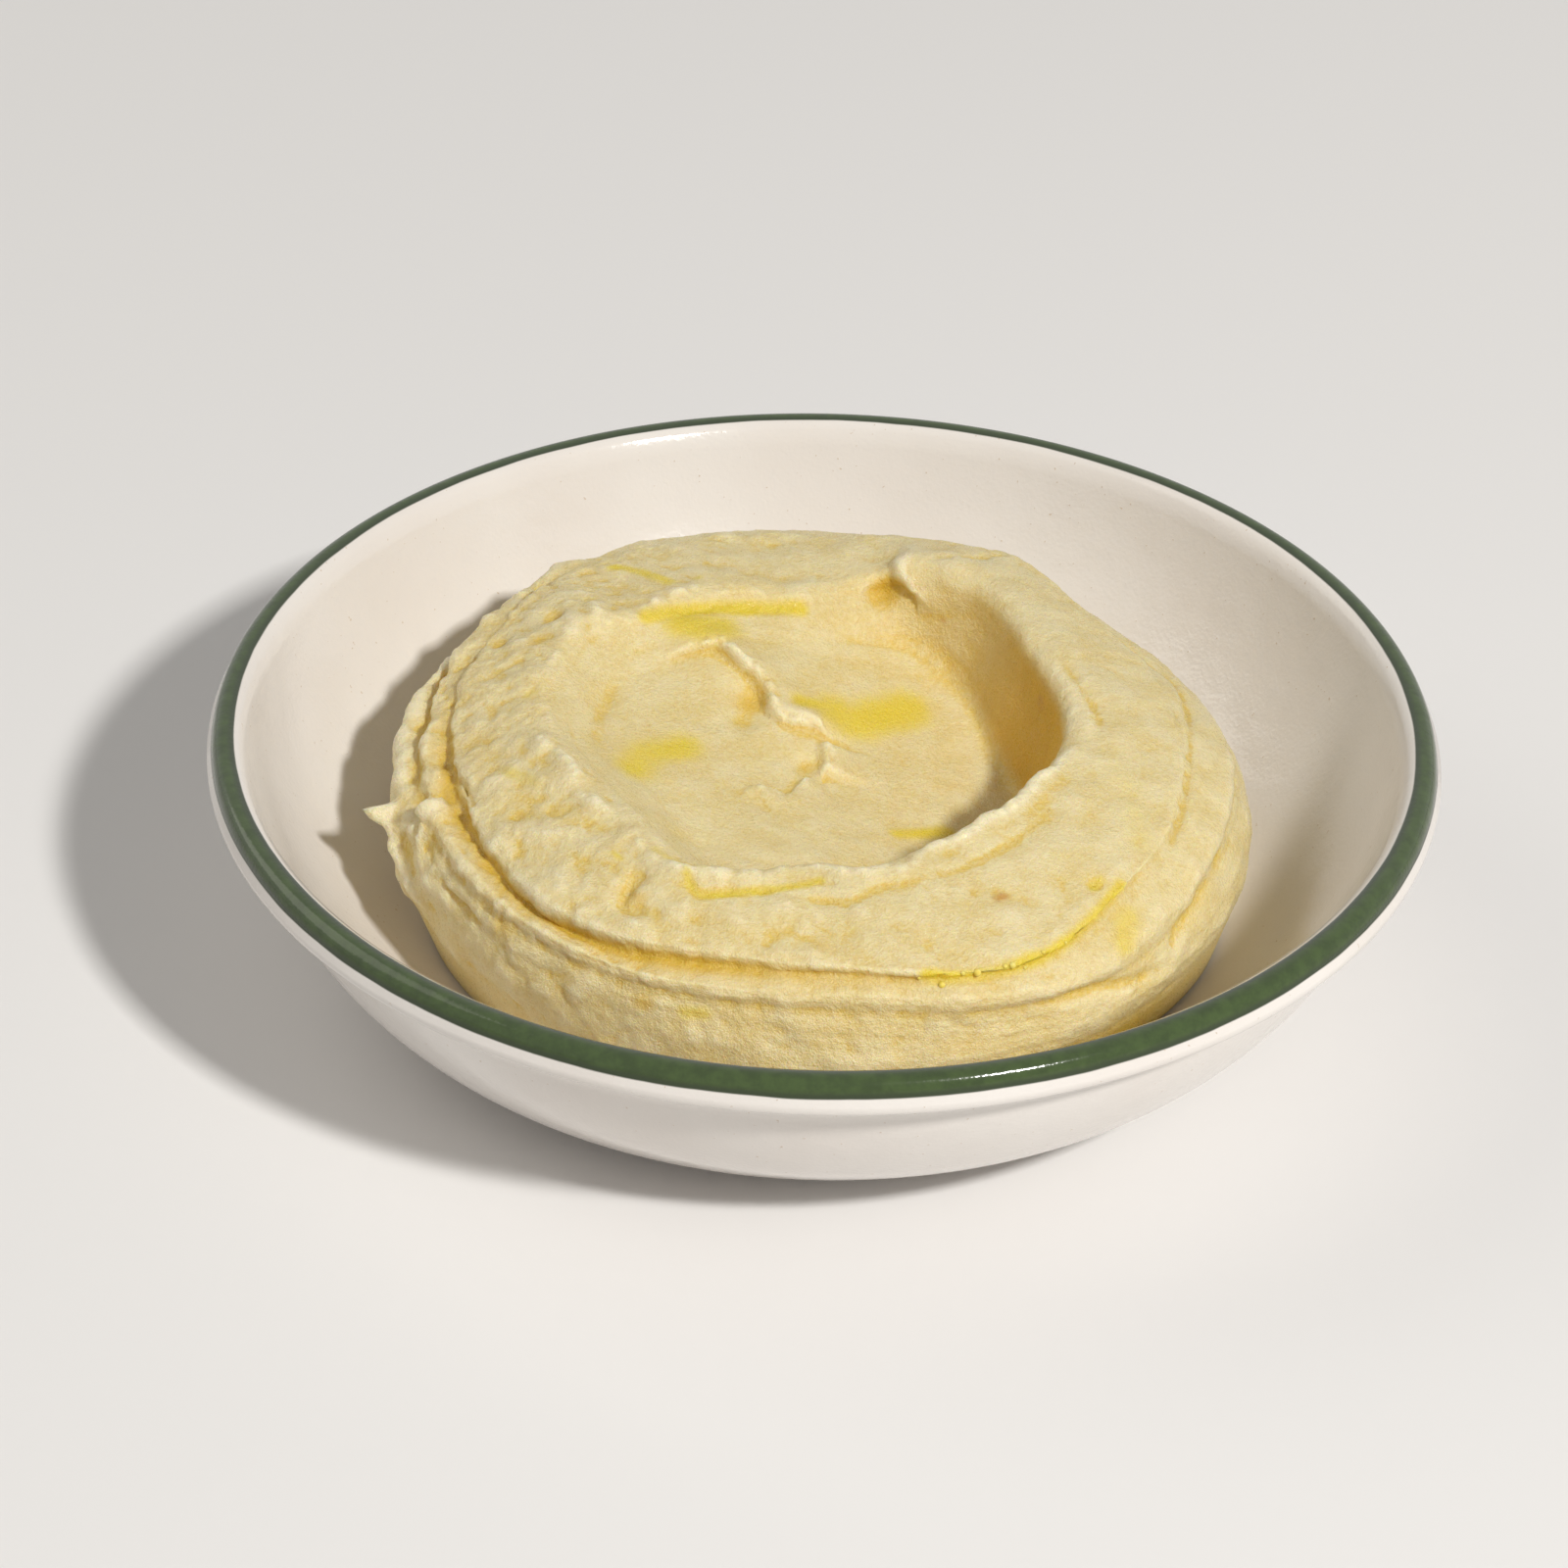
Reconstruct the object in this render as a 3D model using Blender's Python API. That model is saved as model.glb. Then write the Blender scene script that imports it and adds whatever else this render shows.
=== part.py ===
"""Mashed potato side in its bowl.

A low ceramic bowl with a rolled rim holds a free-standing heap of mashed potato.
The heap was swirled with a spoon: a raised roll winds round a hollow that is deep
on the right and shallow on the left, with a small torn peak left in the middle.
Outside the roll a main crease and a second, lower one run round the heap.

Frame: metres, +Z up, origin on the table under the middle of the bowl's foot.
-Y is the front. Angles round the heap are in degrees from +X towards +Y.
"""
import math

import bmesh
import bpy

# Bowl: points of its turned section are (radius, height)
RIM_INSIDE = (0.0864, 0.0406)
RIM_CROWN = (0.0894, 0.0416)
RIM_OUTSIDE = (0.0898, 0.0382)
LIP_START = (0.0904, 0.0374)
LIP_BELLY = (0.0907, 0.0354)
LIP_END = (0.0886, 0.0351)
WALL_TOP = (0.0852, 0.0325)
WALL_BEND = (0.0763, 0.0022)
FOOT_OUTSIDE = (0.0420, 0.0)
FOOT_INSIDE = (0.0365, 0.0)
FOOT_RECESS = (0.0349, 0.0016)
INNER_TOP = (0.0852, 0.0396)
INNER_BEND = (0.0745, 0.0062)
FLOOR_EDGE = (0.0400, 0.0052)
FLOOR_MIDDLE = (0.0200, 0.0052)
WALL_STEPS = 8
CROWN_STEPS = 4
LIP_STEPS = 3
BOWL_SEGMENTS = 80

# Heap of mash: main sizes. The section runs from the hollow over the crest and the roll's
# edge into the main crease, over a lower fold into a second crease, and down to the bowl.
CONTACT_GAP = 0.0004
MASH_SEGMENTS = 90
STEPS_BETWEEN_STATIONS = 2
FLOOR_HEIGHT = 0.0290
CREST_RADIUS = 0.0405
CREST_HEIGHT = 0.0408
WALL_INSET = 0.0102
FLANK_SHARE = 0.45
FLANK_RISE = 0.62
ROLL_RADIUS = 0.0545
ROLL_HEIGHT = 0.0384
MAIN_CREASE_DEPTH = 0.0002
MAIN_CREASE_SHARE = 0.28
MAIN_CREASE_INTO = (-0.25, -1.05)
FOLD_RADIUS = 0.0602
FOLD_HEIGHT = 0.0346
SECOND_CREASE_DEPTH = 0.0002
SECOND_CREASE_SHARE = 0.45
SECOND_CREASE_INTO = (-0.75, -0.40)
LEDGE_RADIUS = 0.0616
LEDGE_HEIGHT = 0.0286
WIDEST_RADIUS = 0.0622
WIDEST_Z = 0.0225
TUCK_Z = 0.0165
TUCK_SHARE = 0.5
CONTACT_RADIUS = 0.0595
UNDERSIDE_RADII = (0.0520, 0.0440, 0.0340, 0.0180)

# Hollow's floor as (share of the crest's radius, share of the local floor height)
HOLLOW_SHARES = ((0.2, 0.4), (0.4, 0.6))

# Where the heap swells or sinks round its circle: (rise, angle, spread)
FLOOR_SWELLS = (
    (-0.0055, -15.0, 70.0), (0.0065, 185.0, 60.0), (0.0070, 112.0, 42.0), (0.0030, 265.0, 35.0),
)
CREST_RADIUS_SWELLS = (
    (-0.0048, 12.0, 32.0), (0.0046, 70.0, 14.0), (-0.0030, 98.0, 9.0), (0.0034, 157.0, 20.0),
    (0.0030, 245.0, 11.0), (-0.0022, 267.0, 9.0), (-0.0042, 318.0, 24.0),
)
CREST_HEIGHT_SWELLS = (
    (0.0027, 32.0, 36.0), (-0.0020, 84.0, 9.0), (0.0008, 144.0, 20.0), (-0.0009, 256.0, 24.0),
)
WALL_INSET_SWELLS = ((-0.0030, 15.0, 50.0), (-0.0036, 318.0, 30.0), (0.0020, 200.0, 50.0))
ROLL_RADIUS_SWELLS = ((-0.0042, 22.0, 32.0), (0.0050, 298.0, 16.0), (0.0031, 235.0, 14.0))
ROLL_HEIGHT_SWELLS = (
    (0.0020, 55.0, 35.0), (0.0012, 130.0, 30.0), (-0.0026, 298.0, 18.0), (-0.0010, 240.0, 40.0),
)
MAIN_CREASE_SWELLS = ((0.0019, 222.0, 28.0), (0.0005, 280.0, 30.0))
FOLD_RADIUS_SWELLS = (
    (-0.0026, 38.0, 17.0), (0.0008, 125.0, 25.0), (-0.0018, 180.0, 18.0), (0.0025, 303.0, 16.0),
    (-0.0013, 268.0, 12.0),
)
FOLD_HEIGHT_SWELLS = (
    (0.0026, 130.0, 35.0), (-0.0014, 250.0, 40.0), (-0.0032, 304.0, 22.0), (-0.0012, 42.0, 10.0),
)
SECOND_CREASE_SWELLS = ((0.0019, 170.0, 15.0), (0.0003, 270.0, 40.0))
LEDGE_RADIUS_SWELLS = (
    (0.0019, 178.0, 16.0), (-0.0016, 266.0, 16.0), (0.0016, 315.0, 28.0), (-0.0012, 48.0, 18.0),
    (0.0008, 0.0, 20.0), (0.0030, 192.0, 4.0),
)
LEDGE_HEIGHT_SWELLS = ((0.0048, 167.0, 16.0), (0.0018, 190.0, 16.0), (-0.0029, 308.0, 24.0))
WIDEST_SWELLS = (
    (0.0012, 0.0, 28.0), (-0.0010, 80.0, 40.0), (0.0017, 187.0, 13.0), (-0.0008, 265.0, 25.0),
    (0.0013, 306.0, 16.0),
)
CONTACT_SWELLS = ((0.0008, 90.0, 70.0), (-0.0022, 216.0, 16.0), (-0.0025, 326.0, 12.0))

# Small torn peak in the hollow
NUB_CENTRE = (-0.0060, 0.0060)
NUB_HEIGHT = 0.0052
NUB_WIDTH = 0.0042
NUB_STATIONS = 3

# Materials: linear colour and roughness
GLAZE = ((0.76, 0.69, 0.61), 0.15)
POTATO = ((0.76, 0.61, 0.28), 0.45)
SHARP_ANGLE = math.radians(40.0)


def clear_scene():
    """Start from a scene with no objects."""
    for old in list(bpy.data.objects):
        bpy.data.objects.remove(old, do_unlink=True)


def make_material(name, colour, roughness):
    """Return a Principled material of one colour."""
    material = bpy.data.materials.new(name)
    material.use_nodes = True
    shader = material.node_tree.nodes["Principled BSDF"]
    shader.inputs["Base Color"].default_value = (*colour, 1.0)
    shader.inputs["Roughness"].default_value = roughness
    shader.inputs["Metallic"].default_value = 0.0
    return material


def quadratic(start, bend, end, steps):
    """Points of a quadratic curve from start to end, both included."""
    points = []
    for index in range(steps + 1):
        t = index / steps
        weights = ((1.0 - t) ** 2, 2.0 * t * (1.0 - t), t * t)
        points.append(tuple(weights[0] * a + weights[1] * b + weights[2] * c
                            for a, b, c in zip(start, bend, end)))
    return points


def catmull_rom(before, start, end, after, t):
    """One coordinate of a Catmull-Rom curve between start and end."""
    slope_in = 0.5 * (end - before)
    slope_out = 0.5 * (after - start)
    rise = end - start
    cubic = slope_in + slope_out - 2.0 * rise
    square = 3.0 * rise - 2.0 * slope_in - slope_out
    return start + t * (slope_in + t * (square + t * cubic))


def smooth_through(points, steps):
    """Points of a curve through the given ones, with the given steps between two of them."""
    padded = [points[0]] + points + [points[-1]]
    curve = []
    for before, start, end, after in zip(padded, padded[1:], padded[2:], padded[3:]):
        for index in range(steps):
            t = index / steps
            curve.append(tuple(catmull_rom(a, b, c, d, t)
                               for a, b, c, d in zip(before, start, end, after)))
    return curve + [points[-1]]


def close_with_fan(body, ring, flip):
    """Fill the hole inside a ring with triangles round its middle."""
    middle = sum((vert.co for vert in ring), ring[0].co * 0.0) / len(ring)
    hub = body.verts.new(middle)
    for index, vert in enumerate(ring):
        after = ring[(index + 1) % len(ring)]
        corners = (hub, after, vert) if flip else (hub, vert, after)
        body.faces.new(corners)


def ringed_solid(name, rings, material):
    """Skin a stack of rings of equal length and close it with a fan at each end."""
    mesh = bpy.data.meshes.new(name)
    body = bmesh.new()
    rows = [[body.verts.new(point) for point in ring] for ring in rings]
    for upper, lower in zip(rows, rows[1:]):
        for index in range(len(upper)):
            after = (index + 1) % len(upper)
            body.faces.new((upper[index], lower[index], lower[after], upper[after]))
    close_with_fan(body, rows[0], flip=False)
    close_with_fan(body, rows[-1], flip=True)
    bmesh.ops.triangulate(body, faces=body.faces[:])
    body.to_mesh(mesh)
    body.free()
    mesh.shade_smooth()
    mesh.set_sharp_from_angle(angle=SHARP_ANGLE)
    mesh.materials.append(material)
    solid = bpy.data.objects.new(name, mesh)
    bpy.context.scene.collection.objects.link(solid)
    return solid


def inner_wall():
    """The bowl's inner section from under the rim down to its floor."""
    return quadratic(INNER_TOP, INNER_BEND, FLOOR_EDGE, WALL_STEPS)


def bowl_section():
    """The whole turned section, from the middle of the inside to the foot's recess."""
    inside = [FLOOR_MIDDLE] + inner_wall()[::-1]
    crown = quadratic(RIM_INSIDE, RIM_CROWN, RIM_OUTSIDE, CROWN_STEPS)
    lip = quadratic(LIP_START, LIP_BELLY, LIP_END, LIP_STEPS)
    outside = quadratic(WALL_TOP, WALL_BEND, FOOT_OUTSIDE, WALL_STEPS)
    return inside + crown + lip + outside + [FOOT_INSIDE, FOOT_RECESS]


def make_bowl(material):
    """Turn the bowl's section about the Z axis."""
    rings = []
    for radius, height in bowl_section():
        ring = []
        for index in range(BOWL_SEGMENTS):
            angle = 2.0 * math.pi * index / BOWL_SEGMENTS
            ring.append((radius * math.cos(angle), radius * math.sin(angle), height))
        rings.append(ring)
    return ringed_solid("bowl", rings, material)


def bowl_height_at(radius):
    """Height of the bowl's inner surface at a radius."""
    wall = inner_wall()
    for (outer_radius, outer_z), (inner_radius, inner_z) in zip(wall, wall[1:]):
        if inner_radius <= radius <= outer_radius:
            share = (radius - inner_radius) / (outer_radius - inner_radius)
            return inner_z + share * (outer_z - inner_z)
    return FLOOR_EDGE[1]


def swell(angle, swells):
    """Sum of smooth swells round the heap at one angle."""
    total = 0.0
    for rise, centre, spread in swells:
        away = (angle - centre + 180.0) % 360.0 - 180.0
        total += rise * math.exp(-(away / spread) ** 2)
    return total


def between(start, end, share, depth, into):
    """A crease's point: part of the way from start to end, and its depth into the heap."""
    return tuple(a + share * (b - a) + depth * step for a, b, step in zip(start, end, into))


def heap_stations(angle):
    """Main points (radius, z) of the heap's section at one angle, from the middle out."""
    ridge = CREST_RADIUS + swell(angle, CREST_RADIUS_SWELLS)
    top = CREST_HEIGHT + swell(angle, CREST_HEIGHT_SWELLS)
    floor = FLOOR_HEIGHT + swell(angle, FLOOR_SWELLS)
    inset = WALL_INSET + swell(angle, WALL_INSET_SWELLS)
    roll = (ROLL_RADIUS + swell(angle, ROLL_RADIUS_SWELLS), ROLL_HEIGHT + swell(angle, ROLL_HEIGHT_SWELLS))
    fold = (FOLD_RADIUS + swell(angle, FOLD_RADIUS_SWELLS), FOLD_HEIGHT + swell(angle, FOLD_HEIGHT_SWELLS))
    ledge = (LEDGE_RADIUS + swell(angle, LEDGE_RADIUS_SWELLS),
             LEDGE_HEIGHT + swell(angle, LEDGE_HEIGHT_SWELLS))
    crease = MAIN_CREASE_DEPTH + swell(angle, MAIN_CREASE_SWELLS)
    second = SECOND_CREASE_DEPTH + swell(angle, SECOND_CREASE_SWELLS)
    widest = WIDEST_RADIUS + swell(angle, WIDEST_SWELLS)
    contact = CONTACT_RADIUS + swell(angle, CONTACT_SWELLS)
    hollow = [(reach * CREST_RADIUS, FLOOR_HEIGHT + share * (floor - FLOOR_HEIGHT))
              for reach, share in HOLLOW_SHARES]
    return hollow + [
        (ridge - inset, floor),
        (ridge - FLANK_SHARE * inset, floor + FLANK_RISE * (top - floor)),
        (ridge, top),
        roll,
        between(roll, fold, MAIN_CREASE_SHARE, crease, MAIN_CREASE_INTO),
        fold,
        between(fold, ledge, SECOND_CREASE_SHARE, second, SECOND_CREASE_INTO),
        ledge,
        (widest, WIDEST_Z),
        (contact + TUCK_SHARE * (widest - contact), TUCK_Z),
        (contact, bowl_height_at(contact) + CONTACT_GAP),
    ]


def nub(x, y):
    """Height of the small torn peak near the middle of the hollow."""
    across = math.hypot(x - NUB_CENTRE[0], y - NUB_CENTRE[1]) / NUB_WIDTH
    return NUB_HEIGHT * math.exp(-across ** 2)


def heap_section(angle):
    """The heap's closed section at one angle, over the top and back along the bowl."""
    top = smooth_through(heap_stations(angle), STEPS_BETWEEN_STATIONS)
    below = [(radius, bowl_height_at(radius) + CONTACT_GAP) for radius in UNDERSIDE_RADII]
    return top + below


def make_mash(material):
    """Build the heap from its section at every angle round the bowl."""
    degrees = [360.0 * index / MASH_SEGMENTS for index in range(MASH_SEGMENTS)]
    sections = [heap_section(angle) for angle in degrees]
    rings = []
    for station in range(len(sections[0])):
        ring = []
        for angle, section in zip(degrees, sections):
            radius, height = section[station]
            x = radius * math.cos(math.radians(angle))
            y = radius * math.sin(math.radians(angle))
            if station < NUB_STATIONS * STEPS_BETWEEN_STATIONS:
                height += nub(x, y)
            ring.append((x, y, height))
        rings.append(ring)
    return ringed_solid("mashed_potato", rings, material)


def build():
    """Make the bowl and the mash that lies in it."""
    clear_scene()
    make_bowl(make_material("cream_glaze", *GLAZE))
    make_mash(make_material("mash", *POTATO))


build()
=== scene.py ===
"""Looks of the mashed potato side in its bowl.

The CAD bowl and heap are the fixed frame. Each is replaced by a finer mesh of the same
size: a turned bowl with a painted rim, and a swirled heap with its folds, creases,
torn edges and butter. Lengths in the shape functions are millimetres. Angles round
the bowl are degrees from +X towards +Y, and -Y is the front.
"""

import math

import bmesh
import bpy
import numpy as np
from mathutils import Matrix, Vector, noise


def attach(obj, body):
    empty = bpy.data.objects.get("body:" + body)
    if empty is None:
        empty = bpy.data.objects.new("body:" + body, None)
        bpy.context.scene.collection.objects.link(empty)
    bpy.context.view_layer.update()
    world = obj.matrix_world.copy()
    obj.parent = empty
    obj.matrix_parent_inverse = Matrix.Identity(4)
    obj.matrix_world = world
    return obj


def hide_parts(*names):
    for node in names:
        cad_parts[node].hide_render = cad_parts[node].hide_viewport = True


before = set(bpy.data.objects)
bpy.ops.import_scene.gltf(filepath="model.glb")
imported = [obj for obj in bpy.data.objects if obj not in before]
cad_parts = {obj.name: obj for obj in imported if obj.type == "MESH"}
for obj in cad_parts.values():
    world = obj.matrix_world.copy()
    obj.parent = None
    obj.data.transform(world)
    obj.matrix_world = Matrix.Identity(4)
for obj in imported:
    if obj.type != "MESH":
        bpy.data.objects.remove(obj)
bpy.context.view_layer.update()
MM = 0.001

# ---------------------------------------------------------------- bowl section (radius, z)
RIM_INSIDE = (86.4, 40.6)
RIM_CROWN = (89.4, 41.6)
RIM_OUTSIDE = (89.8, 38.2)
LIP_START = (90.4, 37.4)
LIP_BELLY = (90.7, 35.4)
LIP_END = (88.6, 35.1)
WALL_TOP = (85.2, 32.5)
WALL_BEND = (76.3, 2.2)
FOOT_OUTSIDE = (42.0, 0.0)
FOOT_INSIDE = (36.5, 0.0)
FOOT_RECESS = (34.9, 1.6)
INNER_TOP = (85.2, 39.6)
INNER_BEND = (74.5, 6.2)
FLOOR_EDGE = (40.0, 5.2)
BOWL_SEGMENTS = 300

# ---------------------------------------------------------------- heap: sizes of its section
SEGMENTS = 600
TURN = np.arange(SEGMENTS) * 360.0 / SEGMENTS
GAP = 0.5
FLOOR_HEIGHT = 29.0
FLOOR_SWELLS = ((-5.5, -15, 70), (6.5, 185, 60), (7.0, 112, 42), (3.0, 265, 35))
WIDEST_Z = 22.5
TUCK_Z = 16.0
BLUR_DEGREES = 3.0
HOLLOW_RADIUS = 27.0
HOLLOW_SHARES = (0.0, 0.3, 0.62)
FLANK_SHARE = 0.45
FLANK_RISE = 0.62
# Stations that the section turns at more sharply than a free curve would: (station, roundness)
TIGHT_STATIONS = ((3, 0.55), (6, 0.5))
# Where the two creases lie between their neighbours, and which way (out, up) they are cut
CREASE_SHARE = 0.28
CREASE_INTO = np.array([[-0.25], [-1.05]])
SECOND_SHARE = 0.45
SECOND_INTO = np.array([[-0.75], [-0.40]])

# How the section changes round the heap, as (angle, value in mm)
CREST_R = ((0, 37.2), (20, 36.2), (32, 36.6), (44, 39.2), (56, 42.6), (72, 45.0), (83, 42.0),
           (98, 37.8), (118, 41.0), (134, 40.2), (146, 43.8), (163, 44.0), (190, 42.0),
           (206, 39.4), (222, 39.5), (243, 43.5), (254, 42.0), (266, 38.8), (282, 40.0),
           (297, 37.0), (334, 35.8), (347, 37.0))
WALL_IN = ((0, 7.2), (30, 7.6), (55, 7.8), (68, 7.6), (85, 9.5), (120, 11.5), (200, 12.5),
           (250, 11.0), (285, 7.5), (310, 6.0), (335, 6.4))
CREST_Z = ((0, 42.4), (35, 43.7), (60, 43.0), (74, 41.6), (82, 39.6), (98, 40.0), (120, 41.2),
           (144, 42.0), (165, 41.4), (200, 41.0), (225, 40.8), (245, 40.0), (270, 40.2),
           (300, 41.0), (335, 41.8))
ROLL_R = ((0, 52.0), (30, 50.2), (45, 51.6), (60, 54.4), (90, 53.4), (120, 55.4), (140, 55.6),
          (160, 54.6), (200, 54.2), (213, 55.0), (226, 57.2), (240, 57.6), (250, 55.6), (262, 54.8),
          (274, 55.4), (286, 58.0), (298, 59.6), (308, 58.0), (318, 55.5), (330, 54.0))
ROLL_Z = ((0, 39.4), (30, 39.6), (60, 40.8), (90, 39.0), (120, 39.6), (140, 39.8), (160, 38.6),
          (182, 37.2), (225, 36.5), (272, 36.5), (286, 35.8), (298, 35.3), (308, 36.2), (320, 37.6))
CREASE_D = ((0, 0.1), (60, 0.1), (150, 0.2), (178, 0.8), (195, 1.4), (210, 1.9), (228, 2.1),
            (240, 1.7), (255, 1.1), (275, 0.7), (300, 0.4), (322, 0.3), (340, 0.1))
FOLD_R = ((0, 59.6), (30, 57.8), (45, 57.4), (60, 60.4), (90, 60.4), (120, 61.2), (140, 60.9),
          (158, 60.0), (178, 58.4), (205, 59.2), (225, 60.4), (245, 60.2), (262, 58.7),
          (275, 58.9), (288, 61.2), (300, 62.8), (312, 62.2), (326, 60.6))
FOLD_Z = ((0, 35.0), (30, 34.0), (45, 33.0), (60, 35.6), (90, 35.4), (120, 37.0), (140, 37.2),
          (158, 36.2), (178, 35.2), (200, 34.6), (225, 33.6), (245, 33.0), (275, 32.8),
          (290, 32.0), (306, 31.0), (318, 31.6), (335, 33.6))
SECOND_D = ((0, 0.1), (40, 0.1), (138, 0.3), (154, 1.6), (172, 2.2), (188, 1.4), (202, 0.5),
            (228, 0.2), (246, 0.35), (270, 0.45), (290, 0.45), (306, 0.4), (335, 0.2))
LEDGE_R = ((0, 62.8), (30, 61.0), (45, 60.2), (60, 60.8), (120, 61.6), (140, 62.0), (154, 61.8),
           (166, 63.0), (178, 63.6), (194, 62.6), (245, 61.0), (262, 59.9), (276, 60.2),
           (290, 62.0), (304, 63.4), (320, 63.2))
LEDGE_Z = ((0, 28.6), (100, 28.6), (144, 30.0), (155, 32.8), (166, 33.6), (178, 32.2), (190, 31.0),
           (206, 29.6), (226, 28.6), (270, 28.0), (290, 27.0), (306, 25.8), (318, 25.4))
WIDEST_R = ((0, 63.4), (30, 61.6), (60, 61.0), (100, 61.3), (140, 62.0), (165, 63.0), (180, 63.2),
            (193, 64.2), (206, 62.0), (240, 61.8), (270, 61.3), (290, 62.8), (305, 63.6), (322, 63.0))
CONTACT_R = ((0, 60.4), (150, 60.4), (200, 58.6), (216, 57.2), (236, 58.6), (300, 59.0),
             (326, 57.0), (342, 59.4))

# Rows of the mesh between one station of the section and the next. Before each row number in
# THINNED only every eighth, fourth or second column is kept.
ROWS = (16, 16, 22, 18, 16, 24, 9, 13, 7, 7, 11, 9, 6)
THINNED = ((16, 8), (24, 4), (40, 2))
UNDERSIDE_RADII = (52.0, 44.0, 34.0, 18.0)
# Valleys are found by comparing the heap with itself after so many rounds of blurring
VALLEY_ROUNDS = 16


def swell(angle, swells):
    """Sum of smooth swells round the heap, at an array of angles."""
    total = np.zeros_like(angle)
    for rise, centre, spread in swells:
        away = (angle - centre + 180.0) % 360.0 - 180.0
        total += rise * np.exp(-(away / spread) ** 2)
    return total


def rising(value, start, over):
    """A factor that is 0 up to start and reaches 1 that much further on."""
    return np.clip((value - start) / over, 0.0, 1.0)


def falling(value, end, over):
    """A factor that leaves 1 that much before end and is 0 from there on."""
    return np.clip((end - value) / over, 0.0, 1.0)


def round_curve(angle, knots):
    """A smooth closed curve through (angle, value) knots, at evenly spaced angles."""
    where, values = zip(*knots)
    sharp = np.interp(angle, where, values, period=360.0)
    away = (angle + 180.0) % 360.0 - 180.0
    blur = np.exp(-0.5 * (away / BLUR_DEGREES) ** 2)
    return np.fft.irfft(np.fft.rfft(sharp) * np.fft.rfft(blur / blur.sum()), len(angle))


def quadratic(start, bend, end, steps):
    """Points of a quadratic curve from start to end, both included."""
    t = np.linspace(0.0, 1.0, steps + 1)[:, None]
    return (1 - t) ** 2 * np.array(start) + 2 * t * (1 - t) * np.array(bend) + t * t * np.array(end)


def bowl_height_at(radius):
    """Height of the bowl's inner surface at a radius."""
    wall = quadratic(INNER_TOP, INNER_BEND, FLOOR_EDGE, 60)[::-1]
    return np.interp(radius, wall[:, 0], wall[:, 1], left=FLOOR_EDGE[1])


def station_ring(angle, radii, heights):
    """One station's radius and height at every angle."""
    return np.array([round_curve(angle, radii), round_curve(angle, heights)])


def hollow_stations(angle, crest):
    """The stations of the hollow's floor and of its wall, up to just under the crest."""
    same = np.ones_like(angle)
    floor = FLOOR_HEIGHT + swell(angle, FLOOR_SWELLS)
    hollow = [(share * HOLLOW_RADIUS * same, FLOOR_HEIGHT + share * (floor - FLOOR_HEIGHT))
              for share in HOLLOW_SHARES]
    into = round_curve(angle, WALL_IN)
    foot = (crest[0] - into, floor)
    flank = (crest[0] - FLANK_SHARE * into, floor + FLANK_RISE * (crest[1] - floor))
    return [*hollow, foot, flank]


def lower_stations(angle):
    """The stations below the ledge: the widest, the tuck and the contact with the bowl."""
    widest = round_curve(angle, WIDEST_R)
    contact = round_curve(angle, CONTACT_R)
    return [(widest, np.full_like(angle, WIDEST_Z)),
            (0.5 * (widest + contact), np.full_like(angle, TUCK_Z)),
            (contact, bowl_height_at(contact) + GAP)]


def heap_stations(angle):
    """Main points of the heap's section at every angle: an array (stations, angles, 2)."""
    crest = station_ring(angle, CREST_R, CREST_Z)
    roll = station_ring(angle, ROLL_R, ROLL_Z)
    fold = station_ring(angle, FOLD_R, FOLD_Z)
    ledge = station_ring(angle, LEDGE_R, LEDGE_Z)
    crease = roll + CREASE_SHARE * (fold - roll) + CREASE_INTO * round_curve(angle, CREASE_D)
    second = fold + SECOND_SHARE * (ledge - fold) + SECOND_INTO * round_curve(angle, SECOND_D)
    return np.array([*hollow_stations(angle, crest), crest, roll, crease, fold, second, ledge,
                     *lower_stations(angle)]).transpose(0, 2, 1)


def row_stations():
    """The station number of each row of the mesh, such as 4.5 between stations 4 and 5."""
    numbers = [start + index / rows for start, rows in enumerate(ROWS) for index in range(rows)]
    return np.array(numbers + [float(len(ROWS))])


def along_section(stations, numbers, roundness=1.0):
    """Catmull-Rom points of the section at the given station numbers, tighter where not so round."""
    roundness = roundness * np.ones(len(stations))
    padded = np.concatenate([stations[:1], stations, stations[-1:]])
    start = np.minimum(numbers.astype(int), len(stations) - 2)
    t = (numbers - start)[:, None, None]
    p0, p1, p2, p3 = (padded[start + step] for step in range(4))
    into = 0.5 * (p2 - p0) * roundness[start][:, None, None]
    out = 0.5 * (p3 - p1) * roundness[start + 1][:, None, None]
    rise = p2 - p1
    return p1 + t * (into + t * (3 * rise - 2 * into - out + t * (into + out - 2 * rise)))


def base_heap():
    """The smooth heap as a grid of points (rows, segments, 3)."""
    roundness = np.ones(len(ROWS) + 1)
    for station, share in TIGHT_STATIONS:
        roundness[station] = share
    section = along_section(heap_stations(TURN), row_stations(), roundness)
    turn = np.radians(TURN)
    return np.stack([section[..., 0] * np.cos(turn), section[..., 0] * np.sin(turn), section[..., 1]], -1)


def grid_normals(points):
    """Unit outward normals of a grid of points."""
    round_way = np.roll(points, -1, 1) - np.roll(points, 1, 1)
    out_way = np.gradient(points, axis=0)
    normal = np.cross(out_way, round_way)
    normal[0] = (0.0, 0.0, 1.0)
    return normal / np.maximum(np.linalg.norm(normal, axis=-1, keepdims=True), 1e-9)


def thinning(rows):
    """How many columns each row steps by: near the middle, faces of every column would be slivers."""
    every = np.ones_like(rows)
    for before, skip in reversed(THINNED):
        every[rows < before] = skip
    return every


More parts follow.
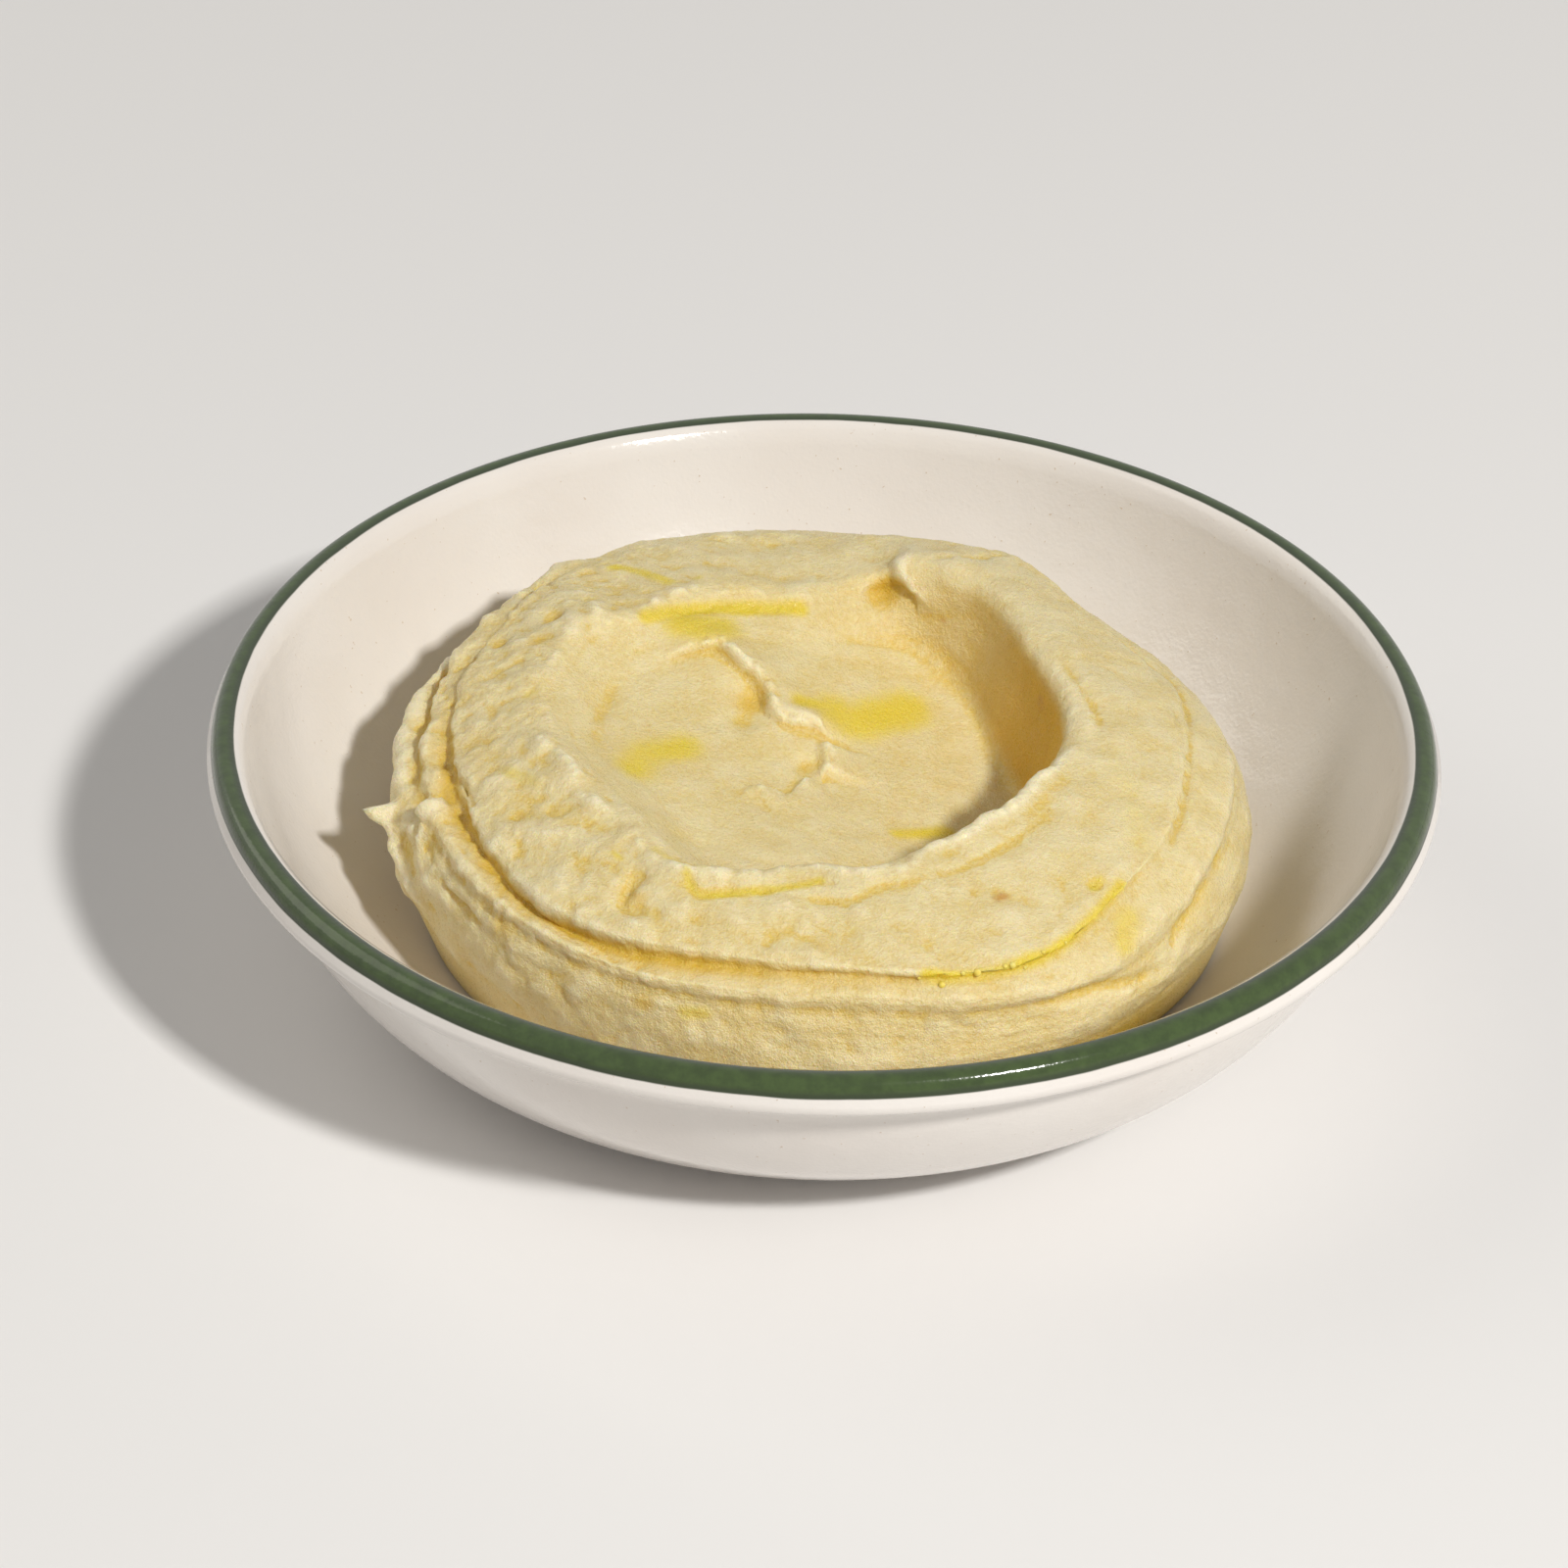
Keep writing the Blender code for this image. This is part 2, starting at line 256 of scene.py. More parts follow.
# ---------------------------------------------------------------- heap: strokes on its surface
# A place on the heap is (angle, station): station 0 is the middle of the hollow, 5 the crest,
# 6 the roll's outer edge, 7 the main crease, 8 the fold, 9 the second crease, 11 the widest.
# Strokes are (kind, width, height, places), heights and widths in mm. A "ridge" stands up, a
# "groove" goes in, and a "step" is raised on its right-hand side and steep on its left.
CENTRE_TEAR = ((76, 1.1), (84, 1.2), (99, 1.3), (116, 1.4), (124, 1.7), (120, 2.1), (120, 2.3),
               (123, 2.5), (125, 2.8), (128, 3.0), (136, 3.2), (147, 3.3))
CENTRE_CLIFF = ((100, 0.15), (92, 0.6), (92, 1.05))
CENTRE_LUMPS = ((219, 1.9), (208, 1.4), (228, 1.0), (223, 0.7), (194, 0.4), (109, 0.2))
BACK_LEFT_LIP = ((168, 4.9), (161, 4.8), (154, 4.9), (149, 5.1), (145, 5.25), (143, 5.05),
                 (146, 4.7), (144, 4.45), (139, 4.4), (134, 4.6), (128, 4.85), (120, 4.8),
                 (108, 4.6), (96, 4.6))
BACK_POOL = ((137, 4.35), (128, 4.2), (118, 3.95), (106, 3.95), (97, 4.0))
TAIL_EDGE = ((69, 3.7), (70, 4.0), (72, 4.2), (75, 4.5), (78, 4.75))
TAIL_TOP = ((78, 4.8), (74, 4.95), (68, 5.1), (60, 5.3))
FRONT_LIP = ((228, 5.1), (236, 5.1), (245, 5.1), (253, 5.0), (259, 5.0), (264, 4.85), (271, 4.85),
             (275, 5.0), (281, 5.0), (289, 5.05))
RIGHT_LIP = ((287, 5.1), (296, 4.95), (304, 5.0), (312, 4.95), (320, 5.0), (329, 4.95), (336, 5.0),
             (345, 5.0))
LEFT_LIP = ((186, 5.2), (192, 5.1), (198, 5.0), (207, 5.0), (215, 5.1), (222, 5.0))
FRONT_OIL_LINE = ((245, 5.15), (249, 5.32), (256, 5.25), (263, 5.22), (270, 5.12))
MAIN_CREASE_RIGHT = ((286, 6.4), (298, 6.4), (307, 6.3), (315, 6.15), (323, 6.1), (331, 6.2))

STROKES = (
    ("step", 4.2, 2.2, CENTRE_TEAR),
    ("step", 5.0, 1.7, CENTRE_CLIFF),
    ("step", 3.4, 1.0, CENTRE_LUMPS),
    ("ridge", 2.4, 0.9, BACK_LEFT_LIP),
    ("groove", 1.5, 0.6, BACK_POOL),
    ("step", 7.0, 1.7, TAIL_EDGE),
    ("ridge", 2.4, 0.5, TAIL_TOP),
    ("ridge", 1.4, 0.9, FRONT_LIP),
    ("ridge", 1.2, 1.3, RIGHT_LIP),
    ("ridge", 1.6, 1.0, LEFT_LIP),
    ("groove", 0.9, 0.6, FRONT_OIL_LINE),
    ("groove", 1.4, 0.5, MAIN_CREASE_RIGHT),
    ("groove", 0.8, 0.7, ((263, 5.33), (271, 5.33), (276, 5.33), (281, 5.22), (289, 5.22))),
    ("groove", 0.7, 0.6, ((291, 5.22), (302, 5.25), (312, 5.25), (322, 5.25))),
    ("groove", 1.3, 1.2, ((239, 5.25), (237, 5.4), (238, 5.58), (241, 5.62), (244, 5.6))),
    ("ridge", 1.6, 0.7, ((223, 5.5), (226, 5.62), (229, 5.75), (233, 5.85), (236, 5.75))),
    ("groove", 1.0, 1.0, ((184, 7.3), (190, 6.6), (195, 6.1), (201, 6.0))),
    ("ridge", 1.1, 3.4, ((190, 10.1), (192, 10.3))),
    ("ridge", 1.3, 1.4, ((191, 10.2), (195, 10.5), (199, 10.7), (204, 10.9))),
    ("step", 3.0, 1.5, ((200, 10.0), (198, 9.2), (197, 8.2), (195, 7.2))),
    ("groove", 1.3, 0.9, ((196, 9.6), (205, 9.8), (212, 10.0), (222, 10.1))),
    ("groove", 0.9, 0.8, ((302, 9.0), (308, 9.1), (316, 9.7), (323, 10.2))),
    ("groove", 0.7, 0.5, ((30, 7.6), (16, 7.4), (359, 6.9), (344, 6.9), (333, 7.1))),
    ("groove", 0.7, 0.4, ((24, 6.6), (8, 6.3), (350, 6.35), (338, 6.4))),
    ("groove", 0.8, 0.4, ((12, 8.6), (356, 8.5), (342, 8.6), (330, 8.7))),
    ("groove", 1.4, 0.9, ((48, 6.7), (40, 6.9), (32, 7.0), (22, 7.3))),
    ("groove", 0.8, 0.5, ((22, 5.1), (11, 5.12), (2, 5.2), (354, 5.25))),
    ("groove", 0.9, 0.5, ((335, 8.8), (326, 9.2), (322, 10.0))),
    ("groove", 0.9, 0.6, ((71, 4.9), (66, 5.2), (62, 5.6), (60, 6.2))),
    ("groove", 1.5, 0.5, ((154, 3.3), (165, 3.3), (178, 3.4), (190, 3.5))),
    ("groove", 0.8, 0.9, ((144, 7.2), (141, 7.3), (138, 7.5))),
)
# Dents are (radius, depth, place)
DENTS = (
    (3.6, 1.7, (127, 2.1)), (2.4, 1.0, (140, 1.9)), (2.6, 2.4, (78, 4.15)), (1.8, 1.3, (149, 5.35)),
    (1.8, 1.2, (157, 5.25)), (1.3, 0.9, (157, 5.8)), (1.5, 1.0, (317, 5.8)), (1.6, 0.9, (130, 0.55)),
    (1.5, 0.6, (250, 5.6)), (1.8, 0.5, (262, 5.7)), (2.8, -0.6, (247, 5.5)), (2.9, -0.6, (263, 5.45)),
    (2.6, -0.4, (285, 5.5)), (2.4, -0.5, (243, 5.8)), (2.8, -0.7, (215, 5.5)), (1.6, 0.6, (209, 5.6)),
)
# Butter is (width, strength, places)
BUTTER = (
    (5.2, 1.0, ((84, 1.9), (71, 2.0), (60, 2.4))),
    (2.4, 1.0, ((103, 1.85), (92, 1.9), (84, 2.0))),
    (4.8, 0.95, ((193, 2.9), (185, 2.6), (178, 2.3))),
    (1.8, 1.0, BACK_POOL),
    (4.6, 1.0, ((129, 3.8), (122, 3.3))),
    (1.5, 1.0, ((129, 5.7), (126, 5.5), (124, 5.2))),
    (1.0, 0.7, ((119, 5.1), (118, 5.1))),
    (2.0, 1.0, ((322, 1.75), (331, 1.95), (342, 2.2))),
    (3.2, 0.75, ((318, 7.4), (315, 7.7))),
    (3.6, 0.40, ((342, 5.5), (335, 5.7), (329, 5.9))),
    (1.5, 1.0, ((285, 6.4), (293, 6.45), (303, 6.35), (312, 6.2), (320, 6.1))),
    (1.1, 0.8, FRONT_OIL_LINE),
    (1.2, 0.6, ((236, 5.0), (242, 5.0), (248, 5.0))),
    (1.3, 0.6, ((174, 5.0), (175, 5.1))),
    (1.8, 0.6, ((197, 5.5), (204, 5.35))),
    (0.9, 0.8, ((230, 5.3), (232, 5.3))),
    (1.5, 0.7, ((252, 9.9), (255, 9.8))),
    (1.3, 0.9, ((316, 5.8), (318, 5.8))),
)
# Painted shade in hollows and notches, as golden spots: (radius, strength, place)
HOLLOW_SHADES = (
    (2.3, 0.9, (77, 4.25)), (2.8, 0.7, (127, 2.1)), (1.6, 0.5, (130, 0.55)), (1.6, 0.8, (149, 5.35)),
    (1.6, 0.7, (157, 5.25)), (1.2, 0.8, (157, 5.8)), (1.6, 0.7, (239, 5.5)), (2.0, 0.5, (209, 5.6)),
    (2.2, 0.5, (222, 9.6)), (2.6, 0.4, (186, 5.6)), (2.0, 0.5, (270, 5.75)), (1.4, 0.7, (246, 9.9)),
)
# Flecks are (radius, strength, place), and droplets (radius, place)
FLECKS = ((1.1, 1.0, (301, 5.5)), (1.2, 1.0, (17, 4.2)), (0.35, 1.0, (63, 3.8)))
DROPLETS = ((0.50, (287, 7.2)), (0.34, (290, 6.2)), (0.55, (292, 6.25)), (0.36, (296, 6.1)),
            (0.48, (297, 6.15)), (0.34, (302, 6.1)), (0.30, (299, 6.9)), (0.28, (284, 6.7)),
            (0.26, (306, 6.4)))
# How lumpy the heap is, and how strongly painted shade darkens the hollow's right wall and the foot
# where it meets the bowl, as swells round the heap: (strength, angle, spread)
LUMPY = ((0.10, 0, 360), (0.24, 205, 62), (0.18, 140, 35), (0.05, 290, 30))
RIGHT_WALL_SHADE = ((1.0, 8, 50),)
FOOT_SHADE = ((0.65, 310, 22),)
# Painted shade all round the foot, where the heap meets the bowl
FOOT_SHADE_LEAST = 0.35
LEAST_LUMPY = 0.08

# Noise on the heap is (amount, width of its bumps in mm, seed)
ROUND_LUMPS = ((2.0, 6.0, 1), (0.6, 1.2, 4))
BILLOWS = ((2.2, 8.0, 7), (1.5, 3.4, 2))
BILLOW_LEVEL = 0.2
STREAKS = (0.14, 1.0, 5)
RAGGED = ((0.55, 2.6, 3), (0.40, 1.3, 6))
SEED_SHIFT = (7.3, 3.1, 5.7)

# A stroke is felt to STROKE_REACH widths, is ragged within RAGGED_REACH of its line, and a step's
# steep side is STEP_FACE wide. A line gets LINE_POINTS points for each place that it runs through.
STROKE_REACH = 3.0
RAGGED_REACH = 1.6
STEP_FACE = 0.45
LEAST_AT_ENDS = 0.25
LINE_POINTS = 6


def place_at(points, angle, station):
    """The point of the grid at an angle and a station."""
    row = np.interp(station, row_stations(), np.arange(len(points)))
    column = (angle % 360.0) * SEGMENTS / 360.0
    low, left = min(int(row), len(points) - 2), int(column) % SEGMENTS
    down, across = row - low, column - int(column)
    right = (left + 1) % SEGMENTS
    upper = points[low, left] * (1 - across) + points[low, right] * across
    lower = points[low + 1, left] * (1 - across) + points[low + 1, right] * across
    return upper * (1 - down) + lower * down


def trail(points, places):
    """A smooth line over the heap through a few places."""
    marks = np.array([place_at(points, *place) for place in places])[:, None, :]
    numbers = np.linspace(0.0, len(marks) - 1.0, LINE_POINTS * len(marks))
    return along_section(marks, numbers)[:, 0]


def near(spots, normals, line, reach):
    """Which spots lie near a line, how far, on which side, and how far along it (0 to 1)."""
    low, high = line.min(0) - reach, line.max(0) + reach
    which = np.nonzero(np.all((spots > low) & (spots < high), axis=1))[0]
    spot, normal = spots[which], normals[which]
    best = np.full(len(which), 1e9)
    side = np.zeros(len(which))
    along = np.zeros(len(which))
    for index, (start, end) in enumerate(zip(line, line[1:])):
        step = end - start
        share = np.clip((spot - start) @ step / max(step @ step, 1e-9), 0.0, 1.0)
        off = spot - start - share[:, None] * step
        far = np.linalg.norm(off, axis=1)
        closer = far < best
        best[closer] = far[closer]
        side[closer] = np.sum(off * np.cross(step, normal), axis=1)[closer]
        along[closer] = ((index + share) / (len(line) - 1))[closer]
    return which, best, side, along


def noise_at(spots, amount, width, seed):
    """Smooth noise between about -amount and amount, with bumps about width mm wide."""
    shift = Vector([seed * step for step in SEED_SHIFT])
    return amount * np.array([noise.noise(Vector(spot) + shift) for spot in spots / width])


def taper(along, least):
    """A factor that fades from 1 to the least value towards both ends of a line."""
    share = np.clip(np.minimum(along, 1.0 - along) * 4.0, 0.0, 1.0)
    return least + (1.0 - least) * share * share * (3.0 - 2.0 * share)


def stroke_lift(spots, normals, points):
    """How far the ridges, grooves and steps raise each spot, in mm."""
    lift = np.zeros(len(spots))
    ragged = sum(noise_at(spots, *size) for size in RAGGED)
    for kind, width, height, places in STROKES:
        line = trail(points, places)
        which, far, side, along = near(spots, normals, line, STROKE_REACH * width)
        reach = np.full(len(which), width)
        ends = taper(along, LEAST_AT_ENDS)
        if kind == "step":
            reach = np.where(side > 0.0, width, STEP_FACE)
            ends = taper(along, 0.0)
        sign = -1.0 if kind == "groove" else 1.0
        uneven = 1.0 + ragged[which] * np.exp(-(far / RAGGED_REACH) ** 2)
        lift[which] += sign * height * uneven * ends * np.exp(-(far / reach) ** 2)
    return lift


def dent_lift(spots, points):
    """How far the dents raise each spot, in mm: mostly less than nothing."""
    lift = np.zeros(len(spots))
    for radius, depth, place in DENTS:
        far = np.linalg.norm(spots - place_at(points, *place), axis=1)
        lift -= depth * np.exp(-(far / radius) ** 2)
    return lift


def lump_lift(spots, station, turn):
    """How far lumps, grains and spoon streaks raise each spot, in mm."""
    outer = rising(station, 4.2, 0.8) * np.where(station > 8.5, 0.75, 1.0)
    amount = swell(turn, LUMPY) * outer + LEAST_LUMPY
    lumps = sum(noise_at(spots, *size) for size in ROUND_LUMPS)
    for size in BILLOWS:
        lumps += np.abs(noise_at(spots, *size)) - BILLOW_LEVEL * size[0]
    streak_spots = np.stack([station * 5.0, turn / 22.0, 0 * turn], 1)
    streaks = noise_at(streak_spots, *STREAKS) * (station > 0.8)
    return amount * lumps + streaks


def mask_along(spots, normals, points, strokes):
    """A mask from 0 to 1 that is strongest along some lines."""
    mask = np.zeros(len(spots))
    for width, strength, places in strokes:
        which, far = near(spots, normals, trail(points, places), STROKE_REACH * width)[:2]
        mask[which] = np.maximum(mask[which], strength * np.exp(-(far / width) ** 2))
    return mask


def grid_faces(rows, skips, first):
    """Triangles between rows of a round grid, where inner rows may have fewer columns."""
    faces = []
    for row in range(rows - 1):
        upper, lower = SEGMENTS // skips[row], SEGMENTS // skips[row + 1]
        a, b = first[row], first[row + 1]
        if upper == lower:
            i = np.arange(upper)
            j = (i + 1) % upper
            faces.append(np.stack([a + i, b + i, b + j], 1))
            faces.append(np.stack([a + i, b + j, a + j], 1))
            continue
        i = np.arange(upper)
        j = (i + 1) % upper
        left, middle, right = 2 * i, 2 * i + 1, (2 * i + 2) % lower
        faces.append(np.stack([a + i, b + left, b + middle], 1))
        faces.append(np.stack([a + i, b + middle, a + j], 1))
        faces.append(np.stack([a + j, b + middle, b + right], 1))
    return np.concatenate(faces)


def mesh_object(name, verts, faces, material):
    """A smooth-shaded mesh object of triangles, in metres from millimetres."""
    mesh = bpy.data.meshes.new(name)
    mesh.vertices.add(len(verts))
    mesh.vertices.foreach_set("co", (np.asarray(verts) * MM).astype(np.float32).ravel())
    mesh.loops.add(3 * len(faces))
    mesh.loops.foreach_set("vertex_index", np.asarray(faces, np.int32).ravel())
    mesh.polygons.add(len(faces))
    mesh.polygons.foreach_set("loop_start", np.arange(0, 3 * len(faces), 3, dtype=np.int32))
    mesh.update(calc_edges=True)
    mesh.validate()
    mesh.shade_smooth()
    mesh.materials.append(material)
    piece = bpy.data.objects.new(name, mesh)
    bpy.context.scene.collection.objects.link(piece)
    return piece


def add_attribute(piece, name, values):
    """Store one number for each vertex."""
    layer = piece.data.attributes.new(name, "FLOAT", "POINT")
    layer.data.foreach_set("value", np.asarray(values, np.float32).ravel())


def blurred(grid, rounds):
    """The grid with each point moved again and again to the middle of its neighbours."""
    for _ in range(rounds):
        padded = np.concatenate([grid[:1], grid, grid[-1:]])
        grid = (grid + np.roll(grid, 1, 1) + np.roll(grid, -1, 1) + padded[:-2] + padded[2:]) / 5.0
    return grid


def crease_and_foot_shade(station, turn):
    """Painted shade where the two creases and the foot run, stronger where the creases cut further in."""
    main = np.interp(turn, TURN, round_curve(TURN, CREASE_D), period=360.0)
    second = np.interp(turn, TURN, round_curve(TURN, SECOND_D), period=360.0)
    # Painted shade along the creases
    main_line = np.exp(-((station - 7.0) / 0.62) ** 2) * np.clip(main / 1.2, 0.0, 1.0)
    second_line = np.exp(-((station - 9.0) / 0.35) ** 2) * np.clip(0.25 + second / 1.5, 0.0, 1.0)
    # Painted shade at the foot, where the heap meets the bowl
    foot_line = rising(station, 10.8, 1.2) * (FOOT_SHADE_LEAST + swell(turn, FOOT_SHADE))
    return main_line + 0.7 * second_line + foot_line


def blots(spotted):
    """Short strokes, one degree long, that paint round blots of (radius, strength, place)."""
    return [(radius, strength, (place, (place[0] + 1, place[1]))) for radius, strength, place in spotted]


def right_wall_shade_mask(station, turn):
    """Painted shade on the hollow's steep right wall."""
    return swell(turn, RIGHT_WALL_SHADE) * rising(station, 2.95, 0.35) * falling(station, 4.85, 0.45)


def heap_masks(points, normals, shaped, station, turn):
    """The numbers that the mash's material reads, for every point of the grid."""
    spots = points.reshape(-1, 3)
    below = (blurred(shaped, VALLEY_ROUNDS) - shaped).reshape(-1, 3)
    # Painted shade in hollows and notches
    hollow_shades = mask_along(spots, normals, points, blots(HOLLOW_SHADES))
    return {
        "butter": mask_along(spots, normals, points, BUTTER),
        # Painted shade in creases, hollows and at the foot
        "painted_shade": crease_and_foot_shade(station, turn) + hollow_shades,
        # How far each spot lies in a hollow, which the colour turns into painted shade and painted light
        "valley": np.sum(below * normals, axis=1),
        # Painted shade on the hollow's right wall
        "right_wall_shade": right_wall_shade_mask(station, turn),
        "fleck": mask_along(spots, normals, points, blots(FLECKS)),
    }


def underside():
    """Rings of the heap's underside, which follows the bowl, and its middle point."""
    rings = []
    turn = np.radians(TURN)
    for radius in (*UNDERSIDE_RADII, 0.0):
        height = np.full(SEGMENTS, bowl_height_at(radius) + GAP)
        rings.append(np.stack([radius * np.cos(turn), radius * np.sin(turn), height], 1))
    rings[-1] = rings[-1][:1]
    return rings


def underside_faces(above, first):
    """Triangles from the last row of the top, over the rings of the underside, to its middle."""
    faces = []
    i = np.arange(SEGMENTS)
    j = (i + 1) % SEGMENTS
    for ring in range(len(UNDERSIDE_RADII)):
        below = first + ring * SEGMENTS
        faces.append(np.stack([above + i, below + i, below + j], 1))
        faces.append(np.stack([above + i, below + j, above + j], 1))
        above = below
    hub = np.full(SEGMENTS, above + SEGMENTS)
    faces.append(np.stack([above + i, hub, above + j], 1))
    return np.concatenate(faces)


def shape_heap():
    """The heap's smooth points, its shaped points, and each one's normal, station and angle."""
    points = base_heap()
    normals = grid_normals(points).reshape(-1, 3)
    spots = points.reshape(-1, 3)
    station = np.repeat(row_stations(), SEGMENTS)
    turn = np.tile(TURN, len(points))
    shown = falling(station, 12.3, 0.8)
    lift = stroke_lift(spots, normals, points) + dent_lift(spots, points)
    lift += lump_lift(spots, station, turn)
    shaped = (spots + normals * (lift * shown)[:, None]).reshape(points.shape)
    return points, shaped, normals, station, turn


def make_heap(shape, material):
    """The swirled heap, as one closed mesh."""
    points, shaped, normals, station, turn = shape
    masks = heap_masks(points, normals, shaped, station, turn)
    skips = list(thinning(np.arange(len(points))))
    kept = [row * SEGMENTS + np.arange(0, SEGMENTS, skip) for row, skip in enumerate(skips)]
    first = np.concatenate([[0], np.cumsum([len(columns) for columns in kept])])
    kept = np.concatenate(kept)
    rings = underside()
    verts = np.concatenate([shaped.reshape(-1, 3)[kept], *rings])
    faces = np.concatenate([grid_faces(len(points), skips, first),
                            underside_faces(first[-2], len(kept))])
    piece = mesh_object("mash_heap", verts, faces, material)
    for name, values in masks.items():
        add_attribute(piece, name, np.concatenate([values[kept], np.zeros(len(verts) - len(kept))]))
    return piece


def make_droplets(shaped, material):
    """Beads of melted butter that stand in the main crease, as one mesh."""
    beads = bmesh.new()
    for radius, place in DROPLETS:
        middle = Vector(place_at(shaped, *place)) * MM
        bmesh.ops.create_icosphere(beads, subdivisions=3, radius=radius * MM,
                                   matrix=Matrix.Translation(middle))
    mesh = bpy.data.meshes.new("butter_droplets")
    beads.to_mesh(mesh)
    beads.free()
    mesh.shade_smooth()
    mesh.materials.append(material)
    piece = bpy.data.objects.new("butter_droplets", mesh)
    bpy.context.scene.collection.objects.link(piece)
    return piece


# ---------------------------------------------------------------- colours and materials
# Colours are linear (red, green, blue)
MASH = (0.715, 0.565, 0.235)
MASH_PALE = (0.765, 0.650, 0.350)
# Painted light on ridges, then painted shade in valleys
MASH_RIDGE_PAINTED_LIGHT = (0.83, 0.74, 0.49)
MASH_VALLEY_PAINTED_SHADE = (0.72, 0.52, 0.12)
MASH_CRUMB = (0.84, 0.76, 0.48)
# Painted shade in creases, hollows and at the foot, then painted shade on the hollow's right wall
MASH_PAINTED_SHADE = (0.68, 0.44, 0.035)
MASH_RIGHT_WALL_SHADE = (0.66, 0.38, 0.022)
MASH_BUTTER = (0.76, 0.59, 0.05)
MASH_FLECK = (0.58, 0.31, 0.06)
CRUMB_SHARE = 0.28
BEAD_GOLD = (0.78, 0.60, 0.09)
BEAD_PALE = (0.84, 0.70, 0.20)
CREAM = (0.735, 0.685, 0.635)
CREAM_PALE = (0.775, 0.735, 0.690)
GLAZE_PIT = (0.60, 0.50, 0.40)
GREEN = (0.030, 0.054, 0.010)
GREEN_PALE = (0.046, 0.080, 0.016)
GREEN_EDGE = (0.026, 0.042, 0.014)
FLOOR_GREY = (0.80, 0.79, 0.78)
WORLD_GREY = (0.94, 0.93, 0.92)
# The world lights the scene weakly, and is brighter by WORLD_SEEN to the camera and in gloss
WORLD_LIGHT = 0.25
WORLD_SEEN = 0.70


def principled(name):
    """A new material, its node tree and its Principled shader."""
    material = bpy.data.materials.new(name)
    material.use_nodes = True
    tree = material.node_tree
    return material, tree, tree.nodes["Principled BSDF"]


def link(tree, source, target):
    """Join an output socket to an input socket."""
    tree.links.new(source, target)


def noise_node(tree, scale, detail=2.0, roughness=0.5):
    """Noise over the object's own coordinates, with scale in bumps per metre."""
    place = tree.nodes.new("ShaderNodeTexCoord")
    texture = tree.nodes.new("ShaderNodeTexNoise")
    texture.inputs["Scale"].default_value = scale
    texture.inputs["Detail"].default_value = detail
    texture.inputs["Roughness"].default_value = roughness
    link(tree, place.outputs["Object"], texture.inputs["Vector"])
    return texture.outputs["Fac"]


def ramp(tree, value, low, high):
    """A factor that goes smoothly from 0 at low to 1 at high."""
    node = tree.nodes.new("ShaderNodeMapRange")
    node.interpolation_type = "SMOOTHSTEP"
    node.inputs["From Min"].default_value = low
    node.inputs["From Max"].default_value = high
    link(tree, value, node.inputs["Value"])
    return node.outputs["Result"]


def calc(tree, operation, first, second):
    """A math node on two sockets or numbers."""
    node = tree.nodes.new("ShaderNodeMath")
    node.operation = operation
    for socket, value in zip(node.inputs, (first, second)):
        if isinstance(value, (int, float)):
            socket.default_value = value
        else:
            link(tree, value, socket)
    return node.outputs[0]


def blend(tree, factor, first, second):
    """Mix two colours, each a socket or an (r, g, b) triple."""
    node = tree.nodes.new("ShaderNodeMix")
    node.data_type = "RGBA"
    link(tree, factor, node.inputs[0])
    for socket, value in ((node.inputs[6], first), (node.inputs[7], second)):
        if isinstance(value, tuple):
            socket.default_value = (*value, 1.0)
        else:
            link(tree, value, socket)
    return node.outputs[2]


def attribute(tree, name):
    """One of the mesh's stored numbers."""
    node = tree.nodes.new("ShaderNodeAttribute")
    node.attribute_name = name
    return node.outputs["Fac"]


def translucent(shader, weight, radius, scale):
    """Let light spread inside: radius is each colour's share of the scale in metres."""
    shader.inputs["Subsurface Weight"].default_value = weight
    shader.inputs["Subsurface Radius"].default_value = radius
    shader.inputs["Subsurface Scale"].default_value = scale


def bump(tree, height, distance, under=None):
    """A bump from a height socket, with distance in metres."""
    node = tree.nodes.new("ShaderNodeBump")
    node.inputs["Strength"].default_value = 1.0
    node.inputs["Distance"].default_value = distance
    link(tree, height, node.inputs["Height"])
    if under is not None:
        link(tree, under, node.inputs["Normal"])
    return node.outputs["Normal"]


def mash_colour(tree, patches, grains, wet):
    """Paler on ridges as painted light; golden as painted shade in valleys, creases, hollows, at the foot
    and on the hollow's right wall; golden where butter lies.
    """
    colour = blend(tree, ramp(tree, patches, 0.35, 0.66), MASH, MASH_PALE)
    valley = attribute(tree, "valley")
    ridge = calc(tree, "MULTIPLY", valley, -1.0)
    # Painted light on ridges
    colour = blend(tree, ramp(tree, ridge, 0.04, 0.60), colour, MASH_RIDGE_PAINTED_LIGHT)
    # Painted shade in valleys
    colour = blend(tree, ramp(tree, valley, 0.0, 0.26), colour, MASH_VALLEY_PAINTED_SHADE)
    crumb = calc(tree, "MULTIPLY", ramp(tree, grains, 0.40, 0.62), CRUMB_SHARE)
    colour = blend(tree, crumb, colour, MASH_CRUMB)
    # Painted shade in creases, hollows and at the foot
    painted_shade = calc(tree, "MULTIPLY", attribute(tree, "painted_shade"), ramp(tree, patches, 0.15, 0.45))
    colour = blend(tree, ramp(tree, painted_shade, 0.05, 1.15), colour, MASH_PAINTED_SHADE)
    # Painted shade on the hollow's right wall
    colour = blend(tree, ramp(tree, attribute(tree, "right_wall_shade"), 0.0, 1.1), colour, MASH_RIGHT_WALL_SHADE)
    colour = blend(tree, wet, colour, MASH_BUTTER)
    mottled = ramp(tree, grains, 0.2, 0.6)
    fleck = calc(tree, "MULTIPLY", ramp(tree, attribute(tree, "fleck"), 0.1, 1.0), mottled)
    return blend(tree, fleck, colour, MASH_FLECK)


